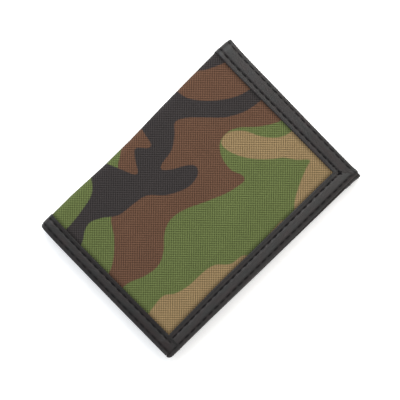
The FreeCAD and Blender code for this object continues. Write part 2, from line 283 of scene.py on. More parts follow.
QUARTER = math.pi / 2
FRONT_WALL = (THICK - 2 * FRONT_R) / 2
INNER_WALL = (INNER_TOP - 2 * INNER_R) / 2
FRONT_ARC = FRONT_R * QUARTER
INNER_ARC = INNER_R * QUARTER
FRONT_FLAT_START = FRONT_R - FRONT_ARC - FRONT_WALL
CENTER_FLAT_START = FRONT_FLAT_START - FRONT_WALL - FRONT_ARC - (MIDDLE_X - FRONT_FOLD_X)
INNER_FLAT_START = CENTER_FLAT_START - (INNER_FOLD_X - MIDDLE_X) - INNER_ARC - INNER_WALL


def make_chains():
    front = Chain("front", ("front_spine", "front_flap"), (LOW[0], THICK / 2), 90, -1,
                  [(FRONT_WALL, 0), (FRONT_ARC, -90), (FRONT_EDGE_X - FRONT_FOLD_X, 0)],
                  FRONT_FLAT_START, 1)
    front.fold = ((LOW[0], 0, THICK - FRONT_R), (FRONT_FOLD_X, 0, THICK))
    left = Chain("left", ("front_spine", "center_panel"), (LOW[0], THICK / 2), -90, 1,
                 [(FRONT_WALL, 0), (FRONT_ARC, 90), (MIDDLE_X - FRONT_FOLD_X, 0)],
                 FRONT_FLAT_START, -1)
    left.fold = ((LOW[0], 0, FRONT_R), (FRONT_FOLD_X, 0, 0))
    right = Chain("right", ("center_panel", "inner_spine"), (MIDDLE_X, 0), 0, 1,
                  [(INNER_FOLD_X - MIDDLE_X, 0), (INNER_ARC, 90), (INNER_WALL, 0)],
                  CENTER_FLAT_START, -1)
    right.fold = ((INNER_FOLD_X, 0, 0), (HIGH[0], 0, INNER_R))
    inner = Chain("inner", ("inner_spine", "inner_flap"), (HIGH[0], INNER_TOP / 2), 90, 1,
                  [(INNER_WALL, 0), (INNER_ARC, 90), (INNER_FOLD_X - INNER_EDGE_X, 0)],
                  INNER_FLAT_START, -1)
    inner.fold = ((HIGH[0], 0, INNER_TOP - INNER_R), (INNER_FOLD_X, 0, INNER_TOP))
    return {chain.name: chain for chain in (front, left, right, inner)}


CHAINS = make_chains()


def top_width(chain, along):
    """The top tape was sewn on a little unevenly over the front flap."""
    drift = 0.02 - 0.07 * smooth(np.asarray(along) / chain.length)
    return TOP_WIDTH * (1 + drift * (chain.name == "front"))


def bottom_width(chain, along):
    drift = 0.04 * smooth(np.asarray(along) / chain.length) - 0.04
    return BOTTOM_WIDTH * (1 + drift * (chain.name == "front"))


def side_width(chain, y):
    if chain.name != "front":
        return EDGE_WIDTH + 0 * np.asarray(y)
    heights, widths = zip(*EDGE_WIDTHS)
    return np.interp(np.asarray(y) + HALF_H, heights, widths)


def has_free_edge(chain):
    return chain.name in ("front", "inner")


def beyond_tape(chain, along, y):
    """Distance from the nearest tape's inner edge, negative under a tape."""
    gap = np.where(y > 0, HALF_H - y - top_width(chain, along),
                   HALF_H + y - bottom_width(chain, along))
    if has_free_edge(chain):
        gap = np.minimum(gap, chain.length - along - side_width(chain, y))
    return gap


# ---- meshes ----------------------------------------------------------------------------------
def make_object(name, points, faces, cloth, material, sharp=()):
    """A mesh from points in millimetres. cloth is each point's place on the flat cloth."""
    mesh = bpy.data.meshes.new(name)
    mesh.from_pydata((np.asarray(points) * MM).tolist(), [], faces)
    flat = np.zeros((len(points), 3), np.float32)
    flat[:, :np.shape(cloth)[-1]] = cloth
    attribute = mesh.attributes.new("cloth", "FLOAT_VECTOR", "POINT")
    attribute.data.foreach_set("vector", flat.ravel())
    work = bmesh.new()
    work.from_mesh(mesh)
    bmesh.ops.recalc_face_normals(work, faces=work.faces)
    for face in work.faces:
        face.smooth = True
    for edge in work.edges:
        if any(a <= edge.verts[0].index < b and a <= edge.verts[1].index < b for a, b in sharp):
            edge.smooth = False
    work.to_mesh(mesh)
    work.free()
    mesh.materials.append(material)
    piece = bpy.data.objects.new(name, mesh)
    bpy.context.scene.collection.objects.link(piece)
    return piece


def store(piece, name, values):
    """Keep one number for each of the mesh's points."""
    attribute = piece.data.attributes.new(name, "FLOAT", "POINT")
    attribute.data.foreach_set("value", np.asarray(values, np.float32).ravel())


def loft(name, rings, cloth, material):
    """Closed piece through rings whose second half runs back along the first."""
    rings = np.asarray(rings)
    count, size = rings.shape[:2]
    faces = []
    for i in range(count - 1):
        row = i * size
        for j in range(size):
            k = (j + 1) % size
            faces.append((row + j, row + k, row + size + k, row + size + j))
    for row in (0, (count - 1) * size):
        for j in range(size // 2 - 1):
            faces.append((row + j, row + j + 1, row + size - 2 - j, row + size - 1 - j))
    ends = ((0, size), ((count - 1) * size, count * size))
    return make_object(name, rings.reshape(-1, 3), faces, cloth.reshape(count * size, -1),
                       material, ends)


def patch(name, xs, ys, keep, top, bottom, material):
    """Flat-lying cloth over a grid, with openings in the cells where keep is false."""
    xs, ys = np.asarray(xs, float), np.asarray(ys, float)
    nx, ny = len(xs), len(ys)
    grid_x, grid_y = np.meshgrid(xs, ys, indexing="ij")
    top = np.broadcast_to(top, grid_x.shape)
    bottom = np.broadcast_to(bottom, grid_x.shape)
    layers = [np.stack([grid_x, grid_y, z], -1).reshape(-1, 3) for z in (top, bottom)]
    points = np.concatenate(layers)
    half = nx * ny
    faces = []
    for i in range(nx - 1):
        for j in range(ny - 1):
            if not keep[i, j]:
                continue
            a, b, c, d = i * ny + j, (i + 1) * ny + j, (i + 1) * ny + j + 1, i * ny + j + 1
            faces.append((a, b, c, d))
            faces.append((d + half, c + half, b + half, a + half))
            sides = (((i, j - 1), a, b), ((i + 1, j), b, c), ((i, j + 1), c, d), ((i - 1, j), d, a))
            for (ni, nj), p, q in sides:
                inside = 0 <= ni < nx - 1 and 0 <= nj < ny - 1
                if not inside or not keep[ni, nj]:
                    faces.append((q, p, p + half, q + half))
    used = sorted({index for face in faces for index in face})
    renumber = {old: new for new, old in enumerate(used)}
    faces = [tuple(renumber[index] for index in face) for face in faces]
    points = points[used]
    return make_object(name, points, faces, points[:, :2], material)


def steps(start, end, size):
    return np.linspace(start, end, max(2, int(round(abs(end - start) / size)) + 1))


def full(xs, ys):
    return np.ones((len(xs) - 1, len(ys) - 1), bool)


def around(xs, ys, low, high):
    """Cells of a grid that lie outside an opening between two corners."""
    middle_x = (xs[1:] + xs[:-1]) / 2
    middle_y = (ys[1:] + ys[:-1]) / 2
    open_x = (middle_x > low[0]) & (middle_x < high[0])
    open_y = (middle_y > low[1]) & (middle_y < high[1])
    return ~(open_x[:, None] & open_y[None, :])


# ---- camouflage print ------------------------------------------------------------------------
# Closed outlines on the flat cloth: millimetres from the front fold, and from the bottom edge.
BLACK_BRANCH = [
    (24, 122), (23.2, 116), (21.4, 109.5), (17.6, 103), (11.8, 96.4), (5, 91.6), (-4, 89.3),
    (-9, 80), (-5, 68.5), (3, 65.9), (9, 64.6), (9.6, 62.2), (5.6, 58), (8.6, 54.6), (14.8, 49.9),
    (7, 45.8), (0.5, 43), (-7, 40), (-5, 34.5), (1.2, 33), (6.6, 28.2), (8.8, 20), (10, 11),
    (10.8, -3), (21.4, -3), (20.3, 8), (16.7, 14), (15.7, 18.6), (18.4, 24.4), (22.6, 30.5),
    (23.8, 40), (25.4, 46.6), (31.6, 53.2), (35.9, 62.8), (34.9, 70.2), (31.3, 72.4), (28, 69.5),
    (24.7, 63.5), (21.3, 59.8), (19.4, 62), (18, 69.5), (13.8, 75.5), (9.8, 79.7), (11.8, 84.7),
    (17.8, 91.2), (24.5, 98.2), (29, 106.8), (30.6, 116), (31, 124),
]
# Black over the whole inner fold, so that the strip of it beside the front flap comes out dark: partly
# black print, partly painted shade.
BLACK_FOLD_AND_SHADE = [
    (-96, 135), (-93, 104), (-96, 82), (-92, 60), (-95, 38), (-93, 14), (-95, -10),
    (-110, -10), (-113, 20), (-109, 48), (-114, 70), (-110, 96), (-112, 135),
]
BLACK_CORNER = [(-2, 124), (7.6, 123), (6.1, 116.2), (3.6, 110), (1, 105.5), (-4, 103), (-8, 112)]
BROWN_FIELD = [
    (45, 126), (44, 116.2), (41, 110), (37, 104.5), (32.5, 99.5), (30.3, 94), (31.5, 88), (37, 84),
    (44, 83), (49.4, 85), (52, 84.1), (52, 81), (50.5, 74), (46.5, 64), (42.5, 55), (41, 47), (43.5, 40),
    (49.5, 33.5), (52.5, 27), (51.5, 19), (48.5, 11), (47.5, -3), (39.5, -3), (38.8, 8), (35, 15),
    (28, 22), (21, 27), (15, 38), (6, 46), (3.2, 50), (0, 53.5), (-6, 56), (-14, 62), (-16, 80),
    (-14, 100), (-10, 126),
]
TAN_TONGUE = [
    (51, 126), (51, 116), (48.8, 109.8), (43, 104.3), (35.6, 100.4), (31.2, 95.6), (30.3, 91.6),
    (32.7, 88.1), (39.3, 89.1), (46.5, 93.2), (52.6, 98.8), (57.2, 104.7), (62, 108.2),
    (66.6, 112.7), (68.2, 108.8), (72, 100.2), (76.9, 92.6), (84, 89.5), (90, 105), (86, 126),
]
TAN_SIDE = [
    (84, 62), (77.2, 59.5), (75.6, 52), (71, 46.7), (69.5, 41), (69.2, 31), (67.5, 24), (64.3, 19),
    (64.8, 12), (66, 5), (66, -3), (92, -3), (90, 50),
]
TAN_SLIVER = [(77.8, 84), (80, 82), (80.6, 76), (78.6, 73), (78, 78)]
PRINT = {
    "tan": [TAN_TONGUE, TAN_SIDE, TAN_SLIVER],
    "brown": [BROWN_FIELD],
    "black": [BLACK_BRANCH, BLACK_CORNER],
}
# The print repeats over the rest of the cloth: along, up, and the signs that turn it over.
REPEATS = [(0, 0, 1, 1), (-16, 2 * HALF_H, -1, -1), (-100, 0, -1, 1)]


def rounded(outline, per_span=5):
    """Smooth closed curve through an outline's points."""
    points = np.array(outline, float)
    before, after = np.roll(points, 1, 0), np.roll(points, -1, 0)
    beyond = np.roll(points, -2, 0)
    curve = []
    for t in np.arange(per_span) / per_span:
        curve.append(0.5 * (2 * points + (after - before) * t
                            + (2 * before - 5 * points + 4 * after - beyond) * t ** 2
                            + (3 * points - before - 3 * after + beyond) * t ** 3))
    return np.stack(curve, 1).reshape(-1, 2)


def signed_distance(places, outline):
    """Distance to a closed outline, negative inside."""
    best = np.full(len(places), 1e9)
    inside = np.zeros(len(places), bool)
    for a, b in zip(outline, np.roll(outline, -1, 0)):
        side = b - a
        rel = places - a
        t = np.clip(rel @ side / (side @ side + 1e-12), 0, 1)
        gap = rel - t[:, None] * side
        best = np.minimum(best, np.einsum("ij,ij->i", gap, gap))
        crosses = (a[1] > places[:, 1]) != (b[1] > places[:, 1])
        rise = side[1] if side[1] else 1e-12
        inside ^= crosses & (rel[:, 0] < rel[:, 1] / rise * side[0])
    distance = np.sqrt(best)
    return np.where(inside, -distance, distance)


def print_camouflage(piece, cloth):
    """Store each colour's signed distance on the cloth's points."""
    for colour, outlines in PRINT.items():
        field = np.full(len(cloth), 50.0)
        if colour == "black":
            field = signed_distance(cloth, rounded(BLACK_FOLD_AND_SHADE))
        for along, up, turn_u, turn_v in REPEATS:
            for outline in outlines:
                curve = rounded(outline) * (turn_u, turn_v) + (along, up)
                near = np.abs(cloth[:, 0] - curve[:, 0].mean()) < np.ptp(curve[:, 0]) / 2 + 30
                if near.any():
                    field[near] = np.minimum(field[near], signed_distance(cloth[near], curve))
        store(piece, colour, field)


# ---- materials -------------------------------------------------------------------------------
class Nodes:
    """Short hands for building a node material."""

    def __init__(self, name):
        self.material = bpy.data.materials.new(name)
        self.material.use_nodes = True
        self.tree = self.material.node_tree
        self.shader = self.tree.nodes["Principled BSDF"]

    def add(self, kind, **values):
        node = self.tree.nodes.new(kind)
        for key, value in values.items():
            setattr(node, key, value)
        return node

    def link(self, source, target):
        self.tree.links.new(source, target)

    def feed(self, socket, value):
        if hasattr(value, "links"):
            self.link(value, socket)
        else:
            socket.default_value = value

    def maths(self, operation, *values):
        node = self.add("ShaderNodeMath", operation=operation)
        for socket, value in zip(node.inputs, values):
            self.feed(socket, value)
        return node.outputs[0]

    def plus(self, first, second):
        return self.maths("ADD", first, second)

    def times(self, first, second):
        return self.maths("MULTIPLY", first, second)

    def minus(self, first, second):
        return self.maths("SUBTRACT", first, second)

    def attribute(self, name, output="Fac"):
        return self.add("ShaderNodeAttribute", attribute_name=name).outputs[output]

    def place(self):
        """Along and across the cloth, in millimetres."""
        split = self.add("ShaderNodeSeparateXYZ")
        self.link(self.attribute("cloth", "Vector"), split.inputs[0])
        return split.outputs[0], split.outputs[1]

    def noise(self, vector, scale, detail=2.0):
        node = self.add("ShaderNodeTexNoise")
        self.link(vector, node.inputs["Vector"])
        node.inputs["Scale"].default_value = scale
        node.inputs["Detail"].default_value = detail
        return node.outputs["Fac"]

    def stretched(self, x_scale, y_scale):
        node = self.add("ShaderNodeMapping")
        self.link(self.attribute("cloth", "Vector"), node.inputs["Vector"])
        node.inputs["Scale"].default_value = (x_scale, y_scale, 1)
        return node.outputs[0]

    def between(self, value, low, high):
        """value, from 0..1, moved to low..high."""
        node = self.add("ShaderNodeMapRange")
        self.feed(node.inputs["Value"], value)
        node.inputs["To Min"].default_value = low
        node.inputs["To Max"].default_value = high
        return node.outputs[0]

    def mix(self, factor, first, second):
        node = self.add("ShaderNodeMix", data_type="RGBA")
        self.feed(node.inputs[0], factor)
        self.feed(node.inputs[6], first)
        self.feed(node.inputs[7], second)
        return node.outputs[2]

    def shade(self, colour, amount):
        """colour with its brightness multiplied by amount."""
        node = self.add("ShaderNodeVectorMath", operation="SCALE")
        self.feed(node.inputs[0], colour if hasattr(colour, "links") else colour[:3])
        self.feed(node.inputs["Scale"], amount)
        return node.outputs[0]

    def bump(self, height, distance, strength):
        node = self.add("ShaderNodeBump")
        self.link(height, node.inputs["Height"])
        node.inputs["Distance"].default_value = distance * MM
        node.inputs["Strength"].default_value = strength
        self.link(node.outputs[0], self.shader.inputs["Normal"])

    def finish(self, colour, roughness, sheen=0.0, specular=0.3):
        self.feed(self.shader.inputs["Base Color"], colour)
        self.feed(self.shader.inputs["Roughness"], roughness)
        self.shader.inputs["Sheen Weight"].default_value = sheen
        self.shader.inputs["Sheen Roughness"].default_value = 0.4
        self.feed(self.shader.inputs["Specular IOR Level"], specular)
        return self.material


def wave(nodes, value, period):
    return nodes.maths("SINE", nodes.times(value, math.tau / period))


def plain_weave(nodes, pitch):
    """Height of a plain weave, 0..1: yarns that pass over each other turn by turn.

    The crowns of the yarns line up on both diagonals, and one diagonal or the other stands out
    more from place to place, as the yarns lie a little unevenly.
    """
    u, v = nodes.place()
    cloth = nodes.attribute("cloth", "Vector")
    period = pitch * 2
    rising = wave(nodes, nodes.plus(u, v), period)
    falling = wave(nodes, nodes.minus(u, v), period)
    lead = nodes.between(nodes.noise(cloth, 0.22, 1.0), -0.25, 1.25)
    both = nodes.plus(nodes.times(rising, lead), nodes.times(falling, nodes.minus(1.0, lead)))
    return nodes.plus(nodes.times(both, 0.42), 0.5)


def with_painted_shade(nodes, tone, darkest):
    """tone, darkened towards darkest by the painted shade stored on the mesh: in the tapes' furrows,
    along their inner edges and on the cloth beside them.
    """
    return nodes.times(tone, nodes.between(nodes.attribute("painted_shade"), 1.0, darkest))


def yarn_tone(nodes, strength):
    """Slow unevenness of single yarns in both directions."""
    along = nodes.noise(nodes.stretched(0.05, 2.2), 1.0, 1.0)
    across = nodes.noise(nodes.stretched(2.2, 0.05), 1.0, 1.0)
    both = nodes.times(nodes.plus(along, across), 0.5)
    return nodes.between(both, 1 - strength, 1 + strength)


CAMO_GREEN = (0.085, 0.107, 0.035, 1)
CAMO_TAN = (0.200, 0.138, 0.068, 1)
CAMO_BROWN = (0.091, 0.046, 0.028, 1)
CAMO_BLACK = (0.028, 0.024, 0.024, 1)
TAPE_COOL = (0.011, 0.012, 0.012, 1)
TAPE_WARM = (0.017, 0.011, 0.011, 1)
WEAVE_PITCH = 0.75
EDGE_SHARPNESS = 1.8           # how quickly one ink gives way to the next, per millimetre


def camouflage_cloth():
    nodes = Nodes("camo_cloth")
    weave = plain_weave(nodes, WEAVE_PITCH)
    cloth = nodes.attribute("cloth", "Vector")
    fray = nodes.between(nodes.noise(cloth, 2.6, 1.0), -0.25, 0.25)
    jag = nodes.plus(fray, nodes.times(nodes.minus(weave, 0.5), 0.2))
    colour = CAMO_GREEN
    for name, ink in (("tan", CAMO_TAN), ("brown", CAMO_BROWN), ("black", CAMO_BLACK)):
        edge = nodes.plus(nodes.attribute(name), jag)
        cover = nodes.between(nodes.plus(nodes.times(edge, -EDGE_SHARPNESS), 0.5), 0, 1)
        colour = nodes.mix(cover, colour, ink)
    tone = nodes.times(nodes.between(weave, 0.3, 1.7), yarn_tone(nodes, 0.25))
    tone = nodes.times(tone, nodes.between(nodes.noise(cloth, 0.06, 3.0), 0.92, 1.08))
    nodes.bump(weave, 0.12, 0.7)
    # Painted shade beside the tapes darkens the cloth to half its tone at most.
    return nodes.finish(nodes.shade(colour, with_painted_shade(nodes, tone, 0.5)), 0.75, 0.0, 0.1)


def plain_cloth(name, colour, pitch, roughness=0.7):
    nodes = Nodes(name)
    weave = plain_weave(nodes, pitch)
    tone = nodes.times(nodes.between(weave, 0.65, 1.35), yarn_tone(nodes, 0.2))
    nodes.bump(weave, 0.1, 0.7)
    return nodes.finish(nodes.shade((*colour, 1), tone), roughness, 0.2, 0.3)


def fuzzy(name, colour):
    """Napped or bristly thread: matt, with a soft sheen and uneven tone."""
    nodes = Nodes(name)
    cloth = nodes.attribute("cloth", "Vector")
    tone = nodes.between(nodes.noise(cloth, 1.3, 3.0), 0.5, 1.5)
    nodes.bump(nodes.noise(cloth, 4.0, 2.0), 0.08, 0.8)
    return nodes.finish(nodes.shade((*colour, 1), tone), 0.8, 0.5, 0.25)


def clear_vinyl():
    """Clear soft sheet with a faint haze and fine scuffs."""
    nodes = Nodes("clear_vinyl")
    cloth = nodes.attribute("cloth", "Vector")
    haze = nodes.noise(cloth, 0.12, 4.0)
    scuffs = nodes.noise(nodes.stretched(0.15, 2.5), 1.0, 3.0)
    nodes.bump(haze, 0.25, 0.5)
    nodes.shader.inputs["Transmission Weight"].default_value = 0.35
    nodes.shader.inputs["IOR"].default_value = 1.45
    nodes.feed(nodes.shader.inputs["Alpha"], nodes.between(haze, 0.22, 0.42))
    return nodes.finish((0.78, 0.81, 0.84, 1), nodes.between(scuffs, 0.06, 0.26), 0.0, 0.5)


ENAMEL = (0.01, 0.01, 0.011, 1)
BARE_METAL = (0.22, 0.21, 0.2, 1)


def worn_enamel():
    """Black enamel, rubbed through to grey metal where it is handled."""
    nodes = Nodes("zip_metal")
    where = nodes.add("ShaderNodeTexCoord").outputs["Object"]
    wear_and_sheen = nodes.noise(where, 900.0, 5.0)
    rubbed = nodes.between(wear_and_sheen, -5.2, 2.4)
    bare = nodes.add("ShaderNodeClamp")
    nodes.link(rubbed, bare.inputs[0])
    colour = nodes.mix(bare.outputs[0], ENAMEL, BARE_METAL)
    nodes.feed(nodes.shader.inputs["Metallic"], bare.outputs[0])
    nodes.bump(wear_and_sheen, 0.02, 0.5)
    return nodes.finish(colour, nodes.between(wear_and_sheen, 0.3, 0.55), 0.0, 0.3)


def nylon_coil():
    nodes = Nodes("zip_coil")
    cloth = nodes.attribute("cloth", "Vector")
    tone = nodes.between(nodes.noise(cloth, 0.8, 2.0), 0.6, 1.4)
    nodes.bump(nodes.noise(cloth, 5.0, 1.0), 0.01, 0.4)
    return nodes.finish(nodes.shade((0.014, 0.014, 0.015, 1), tone), 0.3, 0.0, 0.5)


def tape_cloth(name, shine):
    """Tightly woven tape: fine twill ribs, a painted satin-like sheen in streaks that come and go, and
    painted shade in the seams' furrows and along the inner edge.
    """
    nodes = Nodes(name)
    along, across = nodes.place()
    rib = wave(nodes, along, 0.55)
    warp = wave(nodes, across, 0.42)
    twill = wave(nodes, nodes.plus(along, nodes.times(across, 0.65)), 0.9)
    height = nodes.plus(nodes.times(rib, 0.16), nodes.times(warp, 0.1))
    height = nodes.plus(nodes.plus(height, nodes.times(twill, 0.2)), 0.5)
    # Painted sheen: streaks along the tape where its tone rises and falls.
    wear_and_sheen = nodes.noise(nodes.stretched(0.06, 0.5), 1.0, 4.0)
    tone = nodes.times(nodes.between(height, 0.7, 1.3), nodes.between(wear_and_sheen, 0.5, 1.5))
    tone = nodes.times(tone, yarn_tone(nodes, 0.15))
    warmth = nodes.noise(nodes.stretched(0.12, 0.3), 1.0, 2.0)
    colour = nodes.mix(nodes.between(warmth, -0.5, 1.5), TAPE_COOL, TAPE_WARM)
    nodes.bump(height, 0.06, 0.8)
    # The tape shines less where painted shade darkens it.
    specular = nodes.between(nodes.attribute("painted_shade"), shine, 0.02)
    return nodes.finish(nodes.shade(colour, with_painted_shade(nodes, tone, 0.15)), 0.45, 0.0, specular)


TWIST_PITCH = 0.35             # length of one turn of the thread's strands


def thread_material():
    nodes = Nodes("thread")
    along, across = nodes.place()
    turn = nodes.plus(nodes.times(along, math.tau / TWIST_PITCH), nodes.times(across, 2.0))
    twist = nodes.plus(nodes.times(nodes.maths("SINE", turn), 0.5), 0.5)
    twist = nodes.between(twist, 0, 1)
    nodes.bump(twist, 0.05, 0.8)
    return nodes.finish(nodes.shade((0.006, 0.005, 0.006, 1), nodes.between(twist, 0.6, 1.4)),
                        0.5, 0.0, 0.12)


MATERIALS = {
    "camo_cloth": camouflage_cloth(),
    "binding_tape": tape_cloth("binding_tape", 0.34),
    # The side tapes are the same tape with more shine: a painted highlight that makes them lighter than
    # the other tapes.
    "lit_side_tape": tape_cloth("lit_side_tape", 0.5),
    "lining_cloth": plain_cloth("lining_cloth", (0.016, 0.016, 0.018), 0.3, 0.55),
    "pocket_cloth": plain_cloth("pocket_cloth", (0.021, 0.021, 0.023), 0.45),
    "thread": thread_material(),
    "zip_tape": plain_cloth("zip_tape", (0.014, 0.014, 0.015), 0.35),
    "zip_coil": nylon_coil(),
    "hook_tape": fuzzy("hook_tape", (0.012, 0.012, 0.013)),
    "loop_tape": fuzzy("loop_tape", (0.015, 0.015, 0.016)),
    "clear_vinyl": clear_vinyl(),
    "zip_metal": worn_enamel(),
}


def add_piece(piece, nodes, mover):
    """Hide the CAD nodes that the piece stands for, and bake it in place for a chain or hang it from a
    body's empty.
    """
    if nodes:
        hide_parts(*nodes)
    if isinstance(mover, Chain):
        mover.join(piece)
    else:
        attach(piece, mover)


# ---- cloth of the panels ---------------------------------------------------------------------
def chain_nodes(chain, kind):
    """CAD nodes that a chain's piece of cloth or tape stands for."""
    names = {"front": ("front", "front_spine"), "left": ("center",),
             "right": ("inner_spine",), "inner": ("inner",)}[chain.name]
    return [f"{kind}_{name}" for name in names]


SWELL = {"front": 0.32, "inner": 0.12, "right": 0.15, "left": 0.0}     # of the patterned cloth


def shell_depth(chain, along, y):
    """The patterned cloth swells a little between its bound edges and puckers beside them."""
    gap = beyond_tape(chain, along, y)
    fill = smooth(gap / 20) * smooth((along - FRONT_WALL) / 12)
    uneven = 0.06 * fill * ripple(along, y, 7, 9) * has_free_edge(chain)
    pucker = 0.06 * np.exp(-np.abs(gap) / 1.6) * np.cos(math.tau * (along + y) / STITCH_PITCH)
    dip = 0.12 * np.exp(-(gap / 0.9) ** 2)
    return TAPE - SWELL[chain.name] * fill - uneven + pucker + dip


def panel_grid(chain, along_size, y_size):
    """Places over a chain's cloth, as far as its hems."""
    along = steps(0, chain.length - HEM * has_free_edge(chain), along_size)
    y = steps(-HALF_H + HEM, HALF_H - HEM, y_size)
    return np.meshgrid(along, y, indexing="ij")


def there_and_back(outer, inner):
    """Rings that run over one face of the cloth and back over the other."""
    return np.concatenate([outer, inner[:, ::-1]], 1)


def shell(chain):
    along, y = panel_grid(chain, CLOTH_GRID, CLOTH_GRID)
    depth = shell_depth(chain, along, y)
    outer = chain.point(along, y, depth)
    rings = there_and_back(outer, chain.point(along, y, SHELL_IN))
    shifted = outer[..., 0] - chain.at(along, depth)[0]
    flat = np.stack([chain.flat(along) + shifted, y + HALF_H], -1)
    cloth = there_and_back(flat, flat)
    piece = loft(f"shell_cloth_{chain.name}", rings, cloth, MATERIALS["camo_cloth"])
    print_camouflage(piece, cloth.reshape(-1, 2))
    # Painted shade on the cloth along the tapes' inner edges, fading out over about a millimetre.
    painted_shade = np.exp(-(np.maximum(beyond_tape(chain, along, y), 0) / 1.15) ** 2)
    store(piece, "painted_shade", there_and_back(painted_shade, painted_shade))
    add_piece(piece, chain_nodes(chain, "shell"), chain)


def lining(chain):
    along, y = panel_grid(chain, LINING_GRID, LINING_GRID_Y)
    uneven = 0.04 * ripple(along, y, 11, 8)
    rings = there_and_back(chain.point(along, y, LINING_OUT + uneven),
                           chain.point(along, y, LINING_IN + uneven * 0.5))
    flat = np.stack([chain.flat(along), y], -1)
    cloth = there_and_back(flat, flat)
    piece = loft(f"lining_cloth_{chain.name}", rings, cloth, MATERIALS["lining_cloth"])
    add_piece(piece, chain_nodes(chain, "lining"), chain)


# ---- binding tape ----------------------------------------------------------------------------
FURROW = 0.45                  # half the width of the furrow that a seam presses in


class Binding:
    """Tape folded over an edge and sewn through, with a rounded nose.

    q is the distance in from the edge. face is -1 on the leg at depth outer, +1 on the leg at
    depth inner and 0 on the nose. place turns (along, q, depth) into points. width gives the
    tape's width along the edge, and rows are the seams' places as parts of it. cut moves points
    along the tape to shape its ends, and rise moves the legs apart over another tape. ends says
    where each seam stops, if that is before the end of the tape. shade is the strength of the
    painted shade along the tape's inner edge.
    """

    def __init__(self, place, span, width, outer, inner, rows, cut=None, rise=None, ends=None,
                 shade=0.0):
        self.place = place
        self.span = span
        self.width = width
        self.widest = float(np.max(width(np.array(span))))
        self.outer = outer
        self.inner = inner
        self.rows = rows
        self.cut = cut
        self.rise = rise
        self.ends = ends or [math.inf] * len(rows)
        self.shade = shade
        self.nose = (inner - outer) / 2 / self.widest
        self.droop = 0.28 * (inner - outer) / 2 * (len(rows) > 1)

    def press(self, along, part):
        """How far the seams pull the tape in, part being q over the tape's width."""
        tight = 0.8 + 0.2 * np.cos(math.tau * (along - self.span[0]) / STITCH_PITCH)
        pull = 0.2 * tight * self.grooves(along, part)
        slope = self.droop * smooth((self.rows[0] - part) / (self.rows[0] - self.nose))
        swell = 0.04 * np.sin(math.pi * np.clip(part, 0, 1))
        return pull + slope - swell + 0.03 * ripple(along, part * 14, 5, 6) - 0.03

    def grooves(self, along, part):
        """Furrows along the seams, 0..1."""
        depth = np.zeros(np.broadcast(along, part).shape)
        for row, end in zip(self.rows, self.ends):
            across = (part - row) * self.widest / FURROW
            depth = depth + np.exp(-across ** 2) * smooth(end - along + 0.5)
        return depth

    def painted_shade(self, along, part):
        """Painted shade of the furrows, 0..1, deepest in the inner ones under the middle of a stitch,
        plus painted shade along the tape's inner edge.
        """
        middle = self.span[0] + STITCH_PITCH / 2
        beat = 0.72 + 0.28 * np.cos(math.tau * (along - middle) / STITCH_PITCH)
        deep = 0.7 + 0.3 * smooth((part - 0.35) / 0.2)
        # Painted shade along the tape's inner edge.
        edge = self.shade * smooth((part - 0.78) / 0.12)
        return np.clip(self.grooves(along, part) * beat * deep + edge, 0, 1)

    def at(self, along, part, depth, face):
        """Points from places along and parts across, keeping the nose round."""
        q = np.where(face == 0, part * self.widest, part * self.width(along))
        if self.rise:
            depth = depth + face * self.rise(along, q)
        if self.cut:
            along = self.cut(along, q)
        return self.place(along, q, depth)

    def surface(self, along, part, face, lift=0.0):
        """Points on a leg, lift above it."""
        along, part = np.broadcast_arrays(np.asarray(along, float), np.asarray(part, float))
        base = self.outer if face < 0 else self.inner
        depth = base - face * self.press(along, part) + face * lift
        return self.at(along, part, depth, np.full(along.shape, face))

    def profile(self):
        """(part, depth, face) round the outside, and back along the inside."""
        radius = (self.inner - self.outer) / 2
        legs = np.append(np.arange(self.widest, radius, -LEG_GRID), radius) / self.widest
        sides = []
        for skin in (0.0, TAPE_CLOTH):
            bend = max(radius - skin, 0.05)
            flat = max(bend - self.droop, 0.03)
            turns = np.linspace(0, math.pi, 9)[1:-1]
            side = [(part, self.outer + skin, -1) for part in legs]
            side += [((radius - bend * math.sin(turn)) / self.widest,
                      self.outer + radius - flat * math.cos(turn), 0) for turn in turns]
            side += [(part, self.inner - skin, 1) for part in legs[::-1]]
            sides.append(np.array(side))
        return sides[0], sides[1][::-1]

    def mesh(self, name, material="binding_tape"):
        along = steps(*self.span, TAPE_GRID)
        rings, painted_shades = [], []
        for side, curl in zip(self.profile(), (0.1, 0.0)):
            part, depth, face = side.T
            grid, part = np.meshgrid(along, part, indexing="ij")
            pressed = self.press(grid, part) + curl * (part > 1 - 0.2 / self.widest)
            rings.append(self.at(grid, part, depth - face * pressed, face + 0 * grid))
            # Painted shade of the furrows and the inner edge, on the legs but not the nose.
            painted_shades.append(self.painted_shade(grid, part) * (face != 0))
        size = len(side)
        across = np.concatenate([np.arange(size), np.arange(size)[::-1]]) * LEG_GRID
        cloth = np.stack(np.meshgrid(along, across, indexing="ij"), -1)
        piece = loft(name, np.concatenate(rings, 1), cloth, MATERIALS[material])
        store(piece, "painted_shade", np.concatenate(painted_shades, 1))
        return piece

    def stitches(self, row, face, span=None, seed=1):
        """Thread runs of one seam, each as points and outward directions."""
        start, end = span or self.span
        draw = random.Random(seed)
        strands = []
        skipped = math.ceil((start - self.span[0]) / STITCH_PITCH)
        place = self.span[0] + skipped * STITCH_PITCH + STITCH_GAP / 2
        while place + STITCH_LENGTH < end:
            length = STITCH_LENGTH + draw.uniform(-0.2, 0.2)
            along = place + STITCH_STEPS * length
            part = row + draw.uniform(-0.02, 0.02) * (2 * STITCH_STEPS - 1)
            strands.append(self.strand(along, part, face))
            place += STITCH_PITCH
        return strands

    def strand(self, along, part, face):
        lift = THREAD_R * STITCH_SHAPE
        points = self.surface(along, part, face, lift)
        return points, self.surface(along, part, face, lift + 0.1) - points


# A stitch dives at both ends: heights along it, in thread radii.
STITCH_SHAPE = np.array([-1.6, 0.2, 0.75, 0.75, 0.2, -1.6])
STITCH_STEPS = np.linspace(0, 1, len(STITCH_SHAPE))


